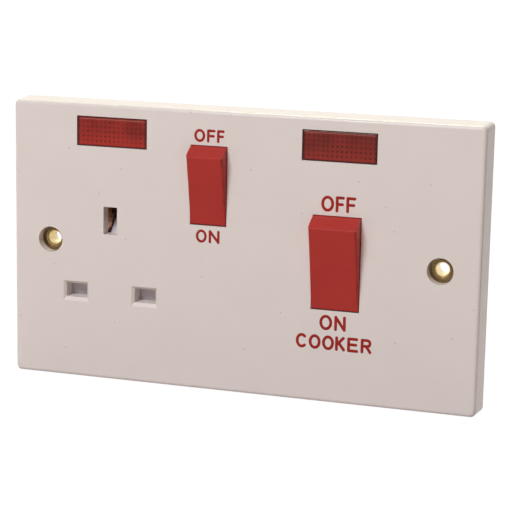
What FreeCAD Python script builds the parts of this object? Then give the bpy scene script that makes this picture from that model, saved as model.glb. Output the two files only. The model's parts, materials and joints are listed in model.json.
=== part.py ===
# Cooker control unit: a two-gang wall plate with a shuttered three-pin socket and its
# rocker switch on the left, a double-pole cooker rocker switch on the right, and a red
# neon window above each. The plate is a moulded tray; the switches, contacts and
# terminals lie in a moulded base that is screwed to the back of it.
#
# Frame: X to the right, Y into the wall, Z up. The origin is the centre of the plate
# on the wall plane, so the front face looks along -Y. Both rockers are modelled ON.
import FreeCAD, Part
import Sketcher
import os
import re

# Driving dimensions, in millimetres and degrees.
SIZES = {
    # Front plate
    "plate_width": 144.0,
    "plate_height": 83.8,
    "plate_depth": 9.2,
    "rim_draft": 0.5,
    "rim_wall": 2.4,
    "face_thick": 3.0,
    "corner_round": 1.5,
    "edge_round": 1.1,
    # Fixing eyelets
    "fixing_centres": 120.6,
    "fixing_boss_dia": 11.0,
    "eyelet_cup_dia": 7.7,
    "eyelet_setback": 3.0,
    "eyelet_floor_depth": 3.6,
    "eyelet_wall": 0.4,
    "eyelet_hole_dia": 4.0,
    "eyelet_lip_dia": 7.6,
    "eyelet_ring_dia": 5.5,
    "eyelet_ring_half": 0.22,
    "eyelet_ring_height": 0.3,
    "press_gap": 0.05,
    # How far a cutting shape runs past the face that it opens
    "overrun": 1.0,
    # Socket
    "socket_x": -40.8,
    "socket_z": -4.1,
    "pin_offset": 11.11,
    "line_slot_width": 6.8,
    "line_slot_height": 4.3,
    "line_slot_chamfer": 0.75,
    "line_slot_lead": 1.1,
    "line_throat_depth": 5.2,
    "earth_slot_width": 4.4,
    "earth_slot_height": 8.4,
    "earth_throat_depth": 3.6,
    "throat_wall": 2.2,
    # Shutter
    "shutter_gap": 0.3,
    "shutter_thick": 1.5,
    "shutter_lap": 0.9,
    "shutter_travel": 5.2,
    "shutter_stem_half": 4.6,
    "shutter_ramp_half": 1.45,
    "guide_thick": 1.5,
    "guide_length": 10.0,
    "shutter_spring_dia": 1.8,
    "shutter_spring_length": 11.2,
    "shutter_spring_turns": 5,
    "spring_wire": 0.45,
    "spring_seat_gap": 0.1,
    "spring_peg_dia": 0.7,
    "spring_peg_length": 2.0,
    "spring_ledge": 1.6,
    # Neon windows
    "neon_width": 22.4,
    "neon_height": 9.0,
    "neon_inset": 8.15,
    "socket_neon_x": -40.4,
    "cooker_neon_x": 29.75,
    "lens_gap": 0.12,
    "lens_recess": 0.15,
    "lens_round": 0.4,
    "lens_front": 1.6,
    "lens_wall": 0.7,
    "lens_flange": 1.0,
    "lens_depth": 7.0,
    "facet_pitch": 1.4,
    "facet_depth": 0.5,
    "lamp_dia": 5.4,
    "lamp_length": 21.4,
    "lamp_depth": 5.0,
    "lamp_chamfer": 0.4,
    # Rockers
    "socket_rocker_x": -9.72,
    "socket_rocker_z": 19.83,
    "socket_rocker_width": 11.45,
    "socket_rocker_radius": 12.35,
    "socket_face_angle": 56.9,
    "socket_tilt": 11.8,
    "cooker_rocker_x": 29.6,
    "cooker_rocker_z": -0.27,
    "cooker_rocker_width": 14.65,
    "cooker_rocker_radius": 14.35,
    "cooker_face_angle": 60.1,
    "cooker_tilt": 11.35,
    "rocker_pivot_depth": 4.2,
    "rocker_side_gap": 0.15,
    "rocker_end_gap": 0.25,
    "rocker_wall": 1.5,
    "rocker_dish": 0.15,
    "rocker_edge_round": 0.55,
    "skirt_angle": 88.0,
    "trunnion_dia": 3.0,
    "trunnion_length": 1.7,
    "running_gap": 0.05,
    "cheek_thick": 2.0,
    "cheek_half": 4.5,
    "cheek_reach": 2.6,
    # Plungers
    "plunger_dia": 3.2,
    "plunger_gap": 0.15,
    "plunger_tube_wall": 0.6,
    "plunger_tube_reach": 9.0,
    "plunger_reach": 13.6,
    "plunger_start": 2.5,
    "plunger_spring_turns": 4,
    "pole_spacing": 7.8,
    # Switch levers and their fixed contacts
    "lever_tilt": 11.0,
    "lever_width": 4.6,
    "lever_half": 8.5,
    "lever_thick": 1.6,
    "lever_rise": 1.7,
    "ridge_dia": 1.6,
    "ridge_gap": 0.2,
    "contact_arm": 7.2,
    "contact_dome_dia": 3.2,
    "contact_dome_inset": 0.8,
    "contact_gap": 0.1,
    "strip_thick": 1.2,
    "feed_drop": 4.15,
    "pole_step": 2.0,
    "link_thick": 1.0,
    "link_width": 4.0,
    "neutral_run_inset": 6.0,
    # Socket contacts
    "clip_thick": 0.8,
    "clip_width": 5.0,
    "line_clip_gap": 3.8,
    "earth_clip_gap": 3.8,
    "earth_clip_height": 8.0,
    "clip_flare": 0.9,
    "clip_flare_length": 2.0,
    "clip_start": 1.0,
    "earth_step": 2.2,
    # Terminals
    "terminal_width": 8.6,
    "terminal_depth": 11.0,
    "terminal_height": 11.0,
    "terminal_offset": 6.9,
    "terminal_clear": 14.65,
    "earth_terminal_x": 8.5,
    "tunnel_dia": 6.2,
    "tunnel_inset": 4.0,
    "terminal_screw_dia": 4.0,
    "terminal_head_dia": 6.0,
    "terminal_head_height": 1.6,
    "screw_slot_half": 0.4,
    "screw_gap": 0.1,
    "head_gap": 0.3,
    # Moulded base
    "base_left": -58.0,
    "base_step_x": -47.5,
    "base_step_z": -7.0,
    "base_right": 44.0,
    "base_bottom": -29.0,
    "base_top": 31.5,
    "base_wall": 2.0,
    "base_corner_round": 2.0,
    "base_back_round": 1.2,
    "base_front_depth": 7.4,
    "base_room": 9.55,
    "entry_gap": 0.5,
    "post_half": 1.8,
    "post_gap": 0.2,
    "barrier_thick": 1.2,
    "ear_half": 3.9,
    "ear_thick": 3.4,
    "ear_setback": 0.2,
    "right_ear_x": 48.0,
    "right_ear_z": 22.0,
    "left_ear_x": -52.0,
    "upper_left_ear_z": 18.0,
    "lower_left_ear_z": -32.1,
    "base_screw_dia": 2.8,
    "base_screw_length": 5.0,
    "base_head_dia": 5.4,
    "base_head_height": 1.8,
    "pillar_dia": 7.0,
}

doc = FreeCAD.newDocument("cooker_control_unit")
sheet = doc.addObject("Spreadsheet::Sheet", "sizes")
for row, (alias, size) in enumerate(SIZES.items(), start=1):
    sheet.set(f"A{row}", alias)
    sheet.set(f"B{row}", str(size))
    sheet.setAlias(f"B{row}", alias)
doc.recompute()

ALIAS = re.compile(r"\b(" + "|".join(SIZES) + r")\b")
X_AXIS = FreeCAD.Vector(1, 0, 0)
Y_AXIS = FreeCAD.Vector(0, 1, 0)
Z_AXIS = FreeCAD.Vector(0, 0, 1)

# Turns from the Z axis of a primitive to the axis that it is wanted along.
ALONG = {
    "x": FreeCAD.Rotation(Y_AXIS, 90),
    "y": FreeCAD.Rotation(X_AXIS, -90),
    "z": FreeCAD.Rotation(),
}

# Levels that several pieces share, from front to back.
FACE = "(-plate_depth)"
FACE_BACK = f"({FACE} + face_thick)"
THROUGH_FACE = (f"{FACE} - overrun", f"{FACE_BACK} + overrun")
PIVOT_Y = f"({FACE} + rocker_pivot_depth)"
RIDGE_Y = f"({PIVOT_Y} + plunger_reach + lever_rise + plunger_gap)"
PAD_Y = (f"({RIDGE_Y} + contact_arm * sin(lever_tilt) - contact_dome_inset * cos(lever_tilt)"
         " + contact_dome_dia / 2 + contact_gap)")
PAD_BACK = f"({PAD_Y} + strip_thick)"
STRAP_Y = f"({PAD_Y} + earth_step)"
STRAP_BACK = f"({STRAP_Y} + strip_thick)"
NEUTRAL_FEED_Y = f"({RIDGE_Y} + feed_drop)"
LIVE_FEED_Y = f"({NEUTRAL_FEED_Y} + pole_step)"
LINK_Y = f"({LIVE_FEED_Y} + strip_thick)"
LINK_BACK = f"({LINK_Y} + link_thick)"
FLOOR_Y = f"({RIDGE_Y} + base_room)"
TERMINAL_Y = f"({FLOOR_Y} - terminal_depth)"
TUNNEL_Y = f"({TERMINAL_Y} + tunnel_inset)"

# Places of the pins and of the shutter that covers them.
LINE_Z = "(socket_z - pin_offset)"
EARTH_Z = "(socket_z + pin_offset)"
NEUTRAL_X = "(socket_x - pin_offset)"
LIVE_X = "(socket_x + pin_offset)"
EARTH_SLOT_FOOT = f"({EARTH_Z} - earth_slot_height / 2)"
LINE_PAD_Y = f"({FACE} + line_throat_depth)"
EARTH_PAD_Y = f"({FACE} + earth_throat_depth)"
SHUTTER_Y = f"({LINE_PAD_Y} + shutter_gap)"
SHUTTER_BACK = f"({SHUTTER_Y} + shutter_thick)"
SHUTTER_FOOT = f"({LINE_Z} - line_slot_height / 2 - shutter_lap)"
SHUTTER_MID_Y = f"({SHUTTER_Y} + shutter_thick / 2)"
LEDGE_Z = f"({SHUTTER_FOOT} - shutter_spring_length)"
GUIDE_TOP = f"({EARTH_SLOT_FOOT} - throat_wall)"
EARTH_CLIP = (f"({EARTH_SLOT_FOOT} + shutter_gap)", f"({EARTH_SLOT_FOOT} + shutter_gap + earth_clip_height)")

# Middle of the neon windows, from the plate's top edge.
NEON_Z = "(plate_height / 2 - neon_inset)"

# Outer radius of an eyelet's tube.
EYELET_TUBE = "(eyelet_hole_dia / 2 + eyelet_wall)"

# Runs of the strips.
LIVE_RUN = "(cooker_rocker_z - terminal_clear / 2)"
NEUTRAL_RUN = "(base_bottom + base_wall + neutral_run_inset)"
STRAP_RUN = "(socket_rocker_z - contact_arm - link_width - contact_dome_dia)"
COOKER_LIVE_X = "(cooker_rocker_x + pole_spacing / 2)"

# The base's ears, each over a pillar of the plate.
EARS = (
    ("right_ear_x", "right_ear_z"),
    ("right_ear_x", "-right_ear_z"),
    ("left_ear_x", "upper_left_ear_z"),
    ("left_ear_x", "lower_left_ear_z"),
)
EAR_BACK = "(-ear_setback)"
EAR_FRONT = f"({EAR_BACK} - ear_thick)"


def bound(expression):
    """The expression with each size named as a cell of the sheet."""
    return ALIAS.sub(r"sizes.\1", expression)


def bind(item, prop, expression):
    """Drive one property of a document object by the sheet."""
    item.setExpression(prop, bound(expression))


def number(expression):
    """What an expression comes to now, for a sketch's first guess or a choice of edges."""
    return float(sheet.evalExpression(bound(expression)))


def place(item, x="0", y="0", z="0", turn=FreeCAD.Rotation()):
    """Give a document object its placement, with its position driven by the sheet."""
    item.Placement = FreeCAD.Placement(FreeCAD.Vector(), turn)
    for axis, expression in (("x", x), ("y", y), ("z", z)):
        bind(item, f"Placement.Base.{axis}", expression)
    return item


def box(name, x, y, z):
    """A block between two levels on each axis."""
    block = doc.addObject("Part::Box", name)
    place(block, x[0], y[0], z[0])
    for prop, (low, high) in (("Length", x), ("Width", y), ("Height", z)):
        bind(block, prop, f"({high}) - ({low})")
    return block


def rod(name, axis, radius, span, x="0", y="0", z="0"):
    """A cylinder along an axis, between two levels on it."""
    cylinder = doc.addObject("Part::Cylinder", name)
    spot = {"x": x, "y": y, "z": z}
    spot[axis] = span[0]
    place(cylinder, turn=ALONG[axis], **spot)
    bind(cylinder, "Radius", radius)
    bind(cylinder, "Height", f"({span[1]}) - ({span[0]})")
    return cylinder


def dome(name, radius, x="0", y="0", z="0"):
    """Half a ball that bulges to the back."""
    half_ball = doc.addObject("Part::Sphere", name)
    half_ball.Angle1 = 0
    place(half_ball, x, y, z, ALONG["y"])
    bind(half_ball, "Radius", radius)
    return half_ball


def frustum(name, x, z, y_front, y_back, spread, foot_spread):
    """A block along Y whose front end is larger by the spread, and at its foot by its own."""
    wedge = doc.addObject("Part::Wedge", name)
    bind(wedge, "Ymin", y_front)
    bind(wedge, "Ymax", y_back)
    for axis, (low, high), low_spread in (("X", x, spread), ("Z", z, foot_spread)):
        bind(wedge, f"{axis}min", f"({low}) - ({low_spread})")
        bind(wedge, f"{axis}max", f"({high}) + ({spread})")
        bind(wedge, f"{axis}2min", low)
        bind(wedge, f"{axis}2max", high)
    return wedge


def about(centre, half):
    """The two levels at a distance each side of a centre."""
    return f"({centre}) - ({half})", f"({centre}) + ({half})"


def fuse(name, pieces):
    """Several shapes as one."""
    union = doc.addObject("Part::MultiFuse", name)
    union.Shapes = pieces
    return union


def cut(name, base, tools):
    """A shape less one or more tools."""
    difference = doc.addObject("Part::Cut", name)
    difference.Base = base
    difference.Tool = tools[0] if len(tools) == 1 else fuse(f"{name}_tools", tools)
    return difference


def common(name, first, second):
    """What two shapes share."""
    shared = doc.addObject("Part::Common", name)
    shared.Base = first
    shared.Tool = second
    return shared


def group(name, pieces):
    """Like pieces that stay separate solids."""
    set_of = doc.addObject("Part::Compound", name)
    set_of.Links = pieces
    return set_of


def round_edges(body, picks):
    """Add fillets to a body, each a radius and a test that picks its edges."""
    doc.recompute()
    tip = body.Tip
    for step, (radius, wanted) in enumerate(picks):
        fillet = body.newObject("PartDesign::Fillet", f"{body.Name}_round_{step}")
        edges = [f"Edge{i}" for i, edge in enumerate(tip.Shape.Edges, start=1) if wanted(edge)]
        fillet.Base = (tip, edges)
        bind(fillet, "Radius", radius)
        doc.recompute()
        tip = fillet
    return body


def rounded(name, base, picks):
    """A shape made into a body, so that its edges can be filleted."""
    body = doc.addObject("PartDesign::Body", name)
    body.BaseFeature = base
    return round_edges(body, picks)


def draw(sketch, points, closed):
    """Straight lines through points whose two coordinates are driven by the sheet."""
    corners = [FreeCAD.Vector(number(u), number(v), 0) for u, v in points]
    ends = corners[1:] + corners[:1] if closed else corners[1:]
    for start, end in zip(corners, ends):
        sketch.addGeometry(Part.LineSegment(start, end), False)
    lines = len(ends)
    for line in range(lines if closed else lines - 1):
        sketch.addConstraint(Sketcher.Constraint("Coincident", line, 2, (line + 1) % lines, 1))
    for index, (point, corner) in enumerate(zip(points, corners)):
        line, end = (index, 1) if index < lines else (index - 1, 2)
        for kind, expression, guess in zip(("DistanceX", "DistanceY"), point, corner):
            constraint = Sketcher.Constraint(kind, -1, 1, line, end, guess)
            row_number = sketch.addConstraint(constraint)
            bind(sketch, f"Constraints[{row_number}]", expression)


def body_sketch(body, name, plane, points, offset="0"):
    """A closed outline on one of a body's own planes, moved along its normal."""
    sketch = body.newObject("Sketcher::SketchObject", name)
    support = [item for item in body.Origin.OriginFeatures if item.Role == plane]
    sketch.AttachmentSupport = [(support[0], "")]
    sketch.MapMode = "FlatFace"
    bind(sketch, "AttachmentOffset.Base.z", offset)
    draw(sketch, points, closed=True)
    return sketch


def pad(body, name, plane, points, low, high):
    """Pad an outline between two levels on the axis that crosses its plane."""
    faces_back = plane == "XZ_Plane"
    offset = f"-({low})" if faces_back else low
    feature = body.newObject("PartDesign::Pad", name)
    feature.Profile = body_sketch(body, f"{name}_outline", plane, points, offset)
    feature.Reversed = faces_back
    bind(feature, "Length", f"({high}) - ({low})")
    return feature


def profile(name, plane, points, low, high):
    """A piece of one section: an outline padded along the axis that crosses its plane."""
    body = doc.addObject("PartDesign::Body", name)
    pad(body, f"{name}_pad", plane, points, low, high)
    return body


def turned(name, points, axis="V_Axis"):
    """A turned piece: half a section on the XY plane, revolved about Y or about X."""
    body = doc.addObject("PartDesign::Body", name)
    feature = body.newObject("PartDesign::Revolution", f"{name}_turn")
    sketch = body_sketch(body, f"{name}_section", "XY_Plane", points)
    feature.Profile = sketch
    feature.ReferenceAxis = (sketch, [axis])
    return body


def folded(name, turn, points, thickness, direction, low, high):
    """A folded strip: a path offset by the sheet's thickness, then drawn out to its width."""
    path = doc.addObject("Sketcher::SketchObject", f"{name}_path")
    path.Placement = FreeCAD.Placement(FreeCAD.Vector(), turn)
    axis = "xyz"[[direction.x, direction.y, direction.z].index(1)]
    bind(path, f"Placement.Base.{axis}", low)
    draw(path, points, closed=False)
    section = doc.addObject("Part::Offset2D", f"{name}_section")
    section.Source = path
    section.Fill = True
    section.Mode = "Skin"
    bind(section, "Value", thickness)
    strip = doc.addObject("Part::Extrusion", name)
    strip.Base = section
    strip.DirMode = "Custom"
    strip.Dir = direction
    strip.Solid = True
    bind(strip, "LengthFwd", f"({high}) - ({low})")
    return strip


def coil(name, outer_dia, room, turns):
    """A compression spring of square wire, along its own Z in a room that starts at 0."""
    rise = f"(({room}) - spring_wire - 2 * spring_seat_gap)"
    start = "(spring_seat_gap + spring_wire / 2)"
    spine = doc.addObject("Part::Helix", f"{name}_spine")
    bind(spine, "Radius", f"({outer_dia}) / 2 - spring_wire / 2")
    bind(spine, "Height", rise)
    bind(spine, "Pitch", f"{rise} / {turns}")
    bind(spine, "Placement.Base.z", start)
    wire = doc.addObject("Part::RegularPolygon", f"{name}_wire")
    wire.Polygon = 4
    bind(wire, "Circumradius", "spring_wire / 2")
    place(wire, f"({outer_dia}) / 2 - spring_wire / 2", "0", start, FreeCAD.Rotation(X_AXIS, 90))
    doc.recompute()
    spring = doc.addObject("Part::Sweep", name)
    spring.Sections = [wire]
    spring.Spine = (spine, [f"Edge{i + 1}" for i in range(len(spine.Shape.Edges))])
    spring.Frenet = True
    spring.Solid = True
    return spring


class Switch:
    """One rocker switch: its place, its rocker's form and the poles that it works."""

    def __init__(self, name, poles):
        self.name = name
        self.poles = poles
        self.x = f"{name}_rocker_x"
        self.z = f"{name}_rocker_z"
        self.half_width = f"({name}_rocker_width / 2 - rocker_side_gap)"
        self.radius = f"{name}_rocker_radius"
        self.tilt = f"{name}_tilt"
        self.front = f"(-{self.radius} * cos({name}_face_angle))"
        self.skirt = f"(-{self.radius} * cos(skirt_angle))"
        self.spring_seat = f"({self.front} + rocker_dish + 2 * rocker_wall)"

    def tilted(self, item):
        """Stand a piece that is drawn about the pivot in its ON position."""
        place(item, self.x, PIVOT_Y, self.z, FreeCAD.Rotation(X_AXIS, number(self.tilt)))
        bind(item, "Placement.Rotation.Angle", self.tilt)
        return item


SOCKET = Switch("socket", {"socket": "0"})
COOKER = Switch("cooker", {"cooker_neutral": "(-pole_spacing / 2)", "cooker_live": "(pole_spacing / 2)"})


def plate_shell():
    """The tray: a drafted block with rounded corners and front edges, hollow from behind."""
    half = ("plate_width / 2", "plate_height / 2")
    block = doc.addObject("Part::Wedge", "plate_block")
    bind(block, "Ymin", FACE)
    bind(block, "Ymax", "0")
    for axis, reach in zip("XZ", half):
        bind(block, f"{axis}min", f"-({reach})")
        bind(block, f"{axis}max", reach)
        bind(block, f"{axis}2min", f"-({reach} + rim_draft)")
        bind(block, f"{axis}2max", f"{reach} + rim_draft")
    depth = number("plate_depth")
    shell = rounded("plate_rounded", block, (
        ("corner_round", lambda edge: edge.BoundBox.YLength > depth / 2),
        ("edge_round", lambda edge: edge.BoundBox.YMax < -depth / 2),
    ))
    inside = [f"{reach} + rim_draft - rim_wall" for reach in half]
    hollow = box("plate_hollow", about("0", inside[0]), (FACE_BACK, "overrun"), about("0", inside[1]))
    return cut("plate_tray", shell, [hollow])


def fixing_points():
    """The two fixing centres, left then right."""
    return (("left", "-fixing_centres / 2"), ("right", "fixing_centres / 2"))


def line_slot_points():
    """The two line pins' slots."""
    return (("neutral", NEUTRAL_X), ("live", LIVE_X))


def windows():
    """The two neon windows."""
    return (("socket", "socket_neon_x"), ("cooker", "cooker_neon_x"))


def plate_backing():
    """What stands on the back of the face: bosses, throats, guides, cheeks and pillars."""
    pieces = []
    for side, x in fixing_points():
        boss_end = "-eyelet_wall"
        pieces.append(rod(f"{side}_boss", "y", "fixing_boss_dia / 2", (FACE_BACK, boss_end), x))
    line_reach = "pin_offset + line_slot_width / 2 + throat_wall"
    pieces.append(box("line_throat", about("socket_x", line_reach), (FACE_BACK, LINE_PAD_Y),
                      about(LINE_Z, "line_slot_height / 2 + throat_wall")))
    pieces.append(box("earth_throat", about("socket_x", "earth_slot_width / 2 + throat_wall"),
                      (FACE_BACK, EARTH_PAD_Y), about(EARTH_Z, "earth_slot_height / 2 + throat_wall")))
    for side, sign in (("left", "-1"), ("right", "1")):
        near = "(shutter_stem_half + shutter_gap + guide_thick / 2)"
        pieces.append(box(f"{side}_guide", about(f"socket_x + {sign} * {near}", "guide_thick / 2"),
                          (FACE_BACK, SHUTTER_BACK), (f"{GUIDE_TOP} - guide_length", GUIDE_TOP)))
    pieces.append(box("spring_ledge", about("socket_x", "shutter_spring_dia"),
                      (FACE_BACK, f"{SHUTTER_MID_Y} + shutter_spring_dia / 2"),
                      (f"{LEDGE_Z} - spring_ledge", LEDGE_Z)))
    pieces.append(rod("ledge_peg", "z", "spring_peg_dia / 2", (LEDGE_Z, f"{LEDGE_Z} + spring_peg_length"),
                      x="socket_x", y=SHUTTER_MID_Y))
    for switch in (SOCKET, COOKER):
        pieces += cheeks(switch)
    for index, (x, z) in enumerate(EARS):
        pieces.append(rod(f"pillar_{index}", "y", "pillar_dia / 2", (FACE_BACK, EAR_FRONT), x, z=z))
    return pieces


def cheek_span(switch, sign):
    """The two levels in X of a switch's left or right cheek."""
    near = f"({switch.half_width} + 2 * rocker_side_gap)"
    low, high = (near, f"({near} + cheek_thick)") if sign > 0 else (f"-({near} + cheek_thick)", f"-{near}")
    return f"{switch.x} + {low}", f"{switch.x} + {high}"


def cheeks(switch):
    """Two cheeks beside a rocker, which carry its trunnions."""
    y_span = (FACE_BACK, f"{PIVOT_Y} + cheek_reach")
    z_span = about(switch.z, "cheek_half")
    return [box(f"{switch.name}_{side}_cheek", cheek_span(switch, sign), y_span, z_span)
            for side, sign in (("left", -1), ("right", 1))]


def saddles(switch):
    """The saddles for a rocker's two trunnions, sunk into the face and open to the back."""
    span = cheek_span(switch, -1)[0], cheek_span(switch, 1)[1]
    bore = "(trunnion_dia / 2 + running_gap)"
    round_end = rod(f"{switch.name}_saddle", "x", bore, span, y=PIVOT_Y, z=switch.z)
    mouth = box(f"{switch.name}_saddle_mouth", span, (PIVOT_Y, f"{PIVOT_Y} + cheek_reach + overrun"),
                about(switch.z, bore))
    return [round_end, mouth]


def plate_openings():
    """Every hole in the plate: eyelet seats, pin slots, windows, rocker apertures, screw pilots."""
    tools = []
    for side, x in fixing_points():
        cup_end = f"{FACE} + eyelet_floor_depth + eyelet_wall + press_gap"
        cup_span = (f"{FACE} - overrun", cup_end)
        tools.append(rod(f"{side}_cup_seat", "y", "eyelet_cup_dia / 2 + press_gap", cup_span, x))
        tube_span = (FACE, "overrun")
        tools.append(rod(f"{side}_tube_seat", "y", f"{EYELET_TUBE} + press_gap", tube_span, x))
    for pin, x in line_slot_points():
        span = about(x, "line_slot_width / 2"), about(LINE_Z, "line_slot_height / 2")
        tools.append(box(f"{pin}_slot", span[0], (f"{FACE} - overrun", f"{LINE_PAD_Y} + overrun"), span[1]))
        mouth_end = f"{FACE} + line_slot_chamfer"
        tools.append(frustum(f"{pin}_mouth", *span, FACE, mouth_end, "line_slot_chamfer", "line_slot_lead"))
    tools.append(box("earth_slot", about("socket_x", "earth_slot_width / 2"),
                     (f"{FACE} - overrun", f"{EARTH_PAD_Y} + overrun"),
                     about(EARTH_Z, "earth_slot_height / 2")))
    for place_name, x in windows():
        tools.append(box(f"{place_name}_window", about(x, "neon_width / 2"), THROUGH_FACE,
                         about(NEON_Z, "neon_height / 2")))
    for switch in (SOCKET, COOKER):
        width = about(switch.x, f"{switch.name}_rocker_width / 2")
        reach = f"({switch.radius} + rocker_end_gap)"
        swept = rod(f"{switch.name}_swept", "x", reach, width, y=PIVOT_Y, z=switch.z)
        through = box(f"{switch.name}_through", width, THROUGH_FACE, about(switch.z, reach))
        tools.append(common(f"{switch.name}_aperture", swept, through))
        tools += saddles(switch)
    for index, (x, z) in enumerate(EARS):
        tip = f"{EAR_BACK} - base_head_height - base_screw_length - head_gap"
        tools.append(rod(f"pilot_{index}", "y", "base_screw_dia / 2 + press_gap", (tip, "overrun"), x, z=z))
    return tools


def faceplate():
    """The moulded front plate."""
    solid = fuse("plate_solid", [plate_shell()] + plate_backing())
    return cut("faceplate", solid, plate_openings())


def eyelet(name, x):
    """A brass eyelet: a shallow cup, two rings round its hole, a tube and a lip turned out behind."""
    rim = f"{FACE} + eyelet_setback"
    floor = f"{FACE} + eyelet_floor_depth"
    under = f"({floor} + eyelet_wall)"
    crest = f"({floor} - eyelet_ring_height)"
    outer, inner = "eyelet_cup_dia / 2", "(eyelet_cup_dia / 2 - eyelet_wall)"
    hole, ring = "eyelet_hole_dia / 2", "eyelet_ring_dia / 2"
    piece = turned(name, [
        (hole, floor),
        (f"{hole} + eyelet_ring_half", crest),
        (f"{hole} + 2 * eyelet_ring_half", floor),
        (f"{ring} - eyelet_ring_half", floor),
        (ring, crest),
        (f"{ring} + eyelet_ring_half", floor),
        (inner, floor),
        (inner, rim),
        (outer, rim),
        (outer, under),
        (EYELET_TUBE, under),
        (EYELET_TUBE, "-eyelet_wall"),
        ("eyelet_lip_dia / 2", "-eyelet_wall"),
        ("eyelet_lip_dia / 2", "0"),
        (hole, "0"),
    ])
    return place(piece, x)


def lens(name, x):
    """A red window: a flanged box open behind, with a waffle of grooves inside its front."""
    half_x = "(neon_width / 2 - lens_gap)"
    half_z = "(neon_height / 2 - lens_gap)"
    front = f"({FACE} + lens_recess)"
    back = f"({FACE} + lens_depth)"
    inner = f"({front} + lens_front)"
    signs = (("-", "-"), ("", "-"), ("", ""), ("-", ""))
    outline = [(f"{sign_x}{half_x}", f"{sign_z}{half_z}") for sign_x, sign_z in signs]
    shell = profile(f"{name}_shell", "XZ_Plane", outline, front, back)
    middle_y = number(f"({front} + {back}) / 2")
    round_edges(shell, (
        ("lens_round", lambda edge: edge.BoundBox.YMax < middle_y),
    ))
    flange = box(f"{name}_rim", about("0", f"{half_x} + lens_flange"),
                 (FACE_BACK, f"{FACE_BACK} + lens_flange"), about("0", f"{half_z} + lens_flange"))
    behind = f"{back} + overrun"
    hollow = box(f"{name}_hollow", about("0", f"{half_x} - lens_wall"), (inner, behind),
                 about("0", f"{half_z} - lens_wall"))
    seat_y = f"({FACE} + lamp_depth)"
    seat_radius = "(lamp_dia / 2 + press_gap)"
    seat = rod(f"{name}_seat", "x", seat_radius, about("0", "neon_width"), y=seat_y)
    seat_mouth = box(f"{name}_seat_mouth", about("0", "neon_width"), (seat_y, behind),
                     about("0", seat_radius))
    grooves = []
    for direction, half in (("across", half_z), ("along", half_x)):
        count = int(number(f"2 * ({half} - lens_wall) / facet_pitch"))
        for index in range(count):
            middle = f"facet_pitch * {index - (count - 1) / 2}"
            points = [(f"{middle} - facet_depth", inner), (middle, f"{inner} - facet_depth"),
                      (f"{middle} + facet_depth", inner)]
            groove_name = f"{name}_{direction}_{index}"
            if direction == "along":
                reach = about("0", f"{half_z} - lens_wall")
                grooves.append(profile(groove_name, "XY_Plane", points, *reach))
            else:
                turned_points = [(v, u) for u, v in points]
                reach = about("0", f"{half_x} - lens_wall")
                grooves.append(profile(groove_name, "YZ_Plane", turned_points, *reach))
    solid = fuse(f"{name}_solid", [shell, flange])
    return place(cut(name, solid, [hollow, seat, seat_mouth] + grooves), x, "0", NEON_Z)


def lamp(name, x):
    """A neon indicator lamp, a sealed glass tube that lies in the lens."""
    half, radius = "lamp_length / 2", "lamp_dia / 2"
    tube = turned(name, [
        (f"-{half}", "0"),
        (f"-{half}", f"{radius} - lamp_chamfer"),
        (f"-{half} + lamp_chamfer", radius),
        (f"{half} - lamp_chamfer", radius),
        (half, f"{radius} - lamp_chamfer"),
        (half, "0"),
    ], axis="H_Axis")
    return place(tube, x, f"{FACE} + lamp_depth", NEON_Z)


def rocker(switch):
    """A rocker about its pivot: a dished front, curved ends, side lugs, trunnions and spring tubes."""
    name = f"{switch.name}_rocker"
    width = about("0", switch.half_width)
    sector = common(
        f"{name}_sector",
        box(f"{name}_block", width, (switch.front, switch.skirt), about("0", switch.radius)),
        rod(f"{name}_drum", "x", switch.radius, width))
    half_face = f"({switch.radius} * sin({switch.name}_face_angle))"
    dish_radius = f"(({half_face} * {half_face} + rocker_dish * rocker_dish) / (2 * rocker_dish))"
    dish = rod(f"{name}_dish", "x", dish_radius, about("0", f"{switch.half_width} + overrun"),
               y=f"{switch.front} + rocker_dish - {dish_radius}")
    front_y = number(f"{switch.front} + rocker_dish + rocker_wall / 2")
    shell = rounded(f"{name}_rounded", cut(f"{name}_dished", sector, [dish]), (
        ("rocker_edge_round", lambda edge: edge.BoundBox.YMax < front_y),
    ))
    inner = f"({switch.half_width} - rocker_wall)"
    room = common(
        f"{name}_room",
        box(f"{name}_room_block", about("0", inner),
            (f"{switch.front} + rocker_dish + rocker_wall", "overrun"), about("0", switch.radius)),
        rod(f"{name}_room_drum", "x", f"{switch.radius} - rocker_wall", about("0", inner)))
    pieces = [cut(f"{name}_shell", shell, [room])]
    lug_half = "(trunnion_dia / 2 + rocker_wall)"
    web_y = f"{switch.front} + rocker_dish + rocker_wall / 2"
    for side, sign in (("left", "-1"), ("right", "1")):
        lug = about(f"{sign} * ({switch.half_width} - rocker_wall / 2)", "rocker_wall / 2")
        pieces.append(box(f"{name}_{side}_web", lug, (web_y, "0"), about("0", lug_half)))
        pieces.append(rod(f"{name}_{side}_lug", "x", lug_half, lug))
        pin = about(f"{sign} * ({switch.half_width} + trunnion_length / 2)", "trunnion_length / 2")
        pieces.append(rod(f"{name}_{side}_trunnion", "x", "trunnion_dia / 2", pin))
    bore = "(plunger_dia / 2 + plunger_gap)"
    bores = []
    for pole, x in switch.poles.items():
        tube_span = (web_y, "plunger_tube_reach")
        pieces.append(rod(f"{pole}_tube", "y", f"{bore} + plunger_tube_wall", tube_span, x))
        bore_span = (switch.spring_seat, "plunger_tube_reach + overrun")
        bores.append(rod(f"{pole}_bore", "y", bore, bore_span, x))
    return switch.tilted(cut(name, fuse(f"{name}_solid", pieces), bores))


def plunger(switch, pole, x):
    """A round-nosed plunger that slides in the rocker's tube and drives the lever."""
    radius = "plunger_dia / 2"
    nose = f"plunger_reach - {radius}"
    stem = rod(f"{pole}_plunger_stem", "y", radius, ("plunger_start", nose), x)
    return switch.tilted(fuse(f"{pole}_plunger", [stem, dome(f"{pole}_plunger_nose", radius, x, nose)]))


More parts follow.
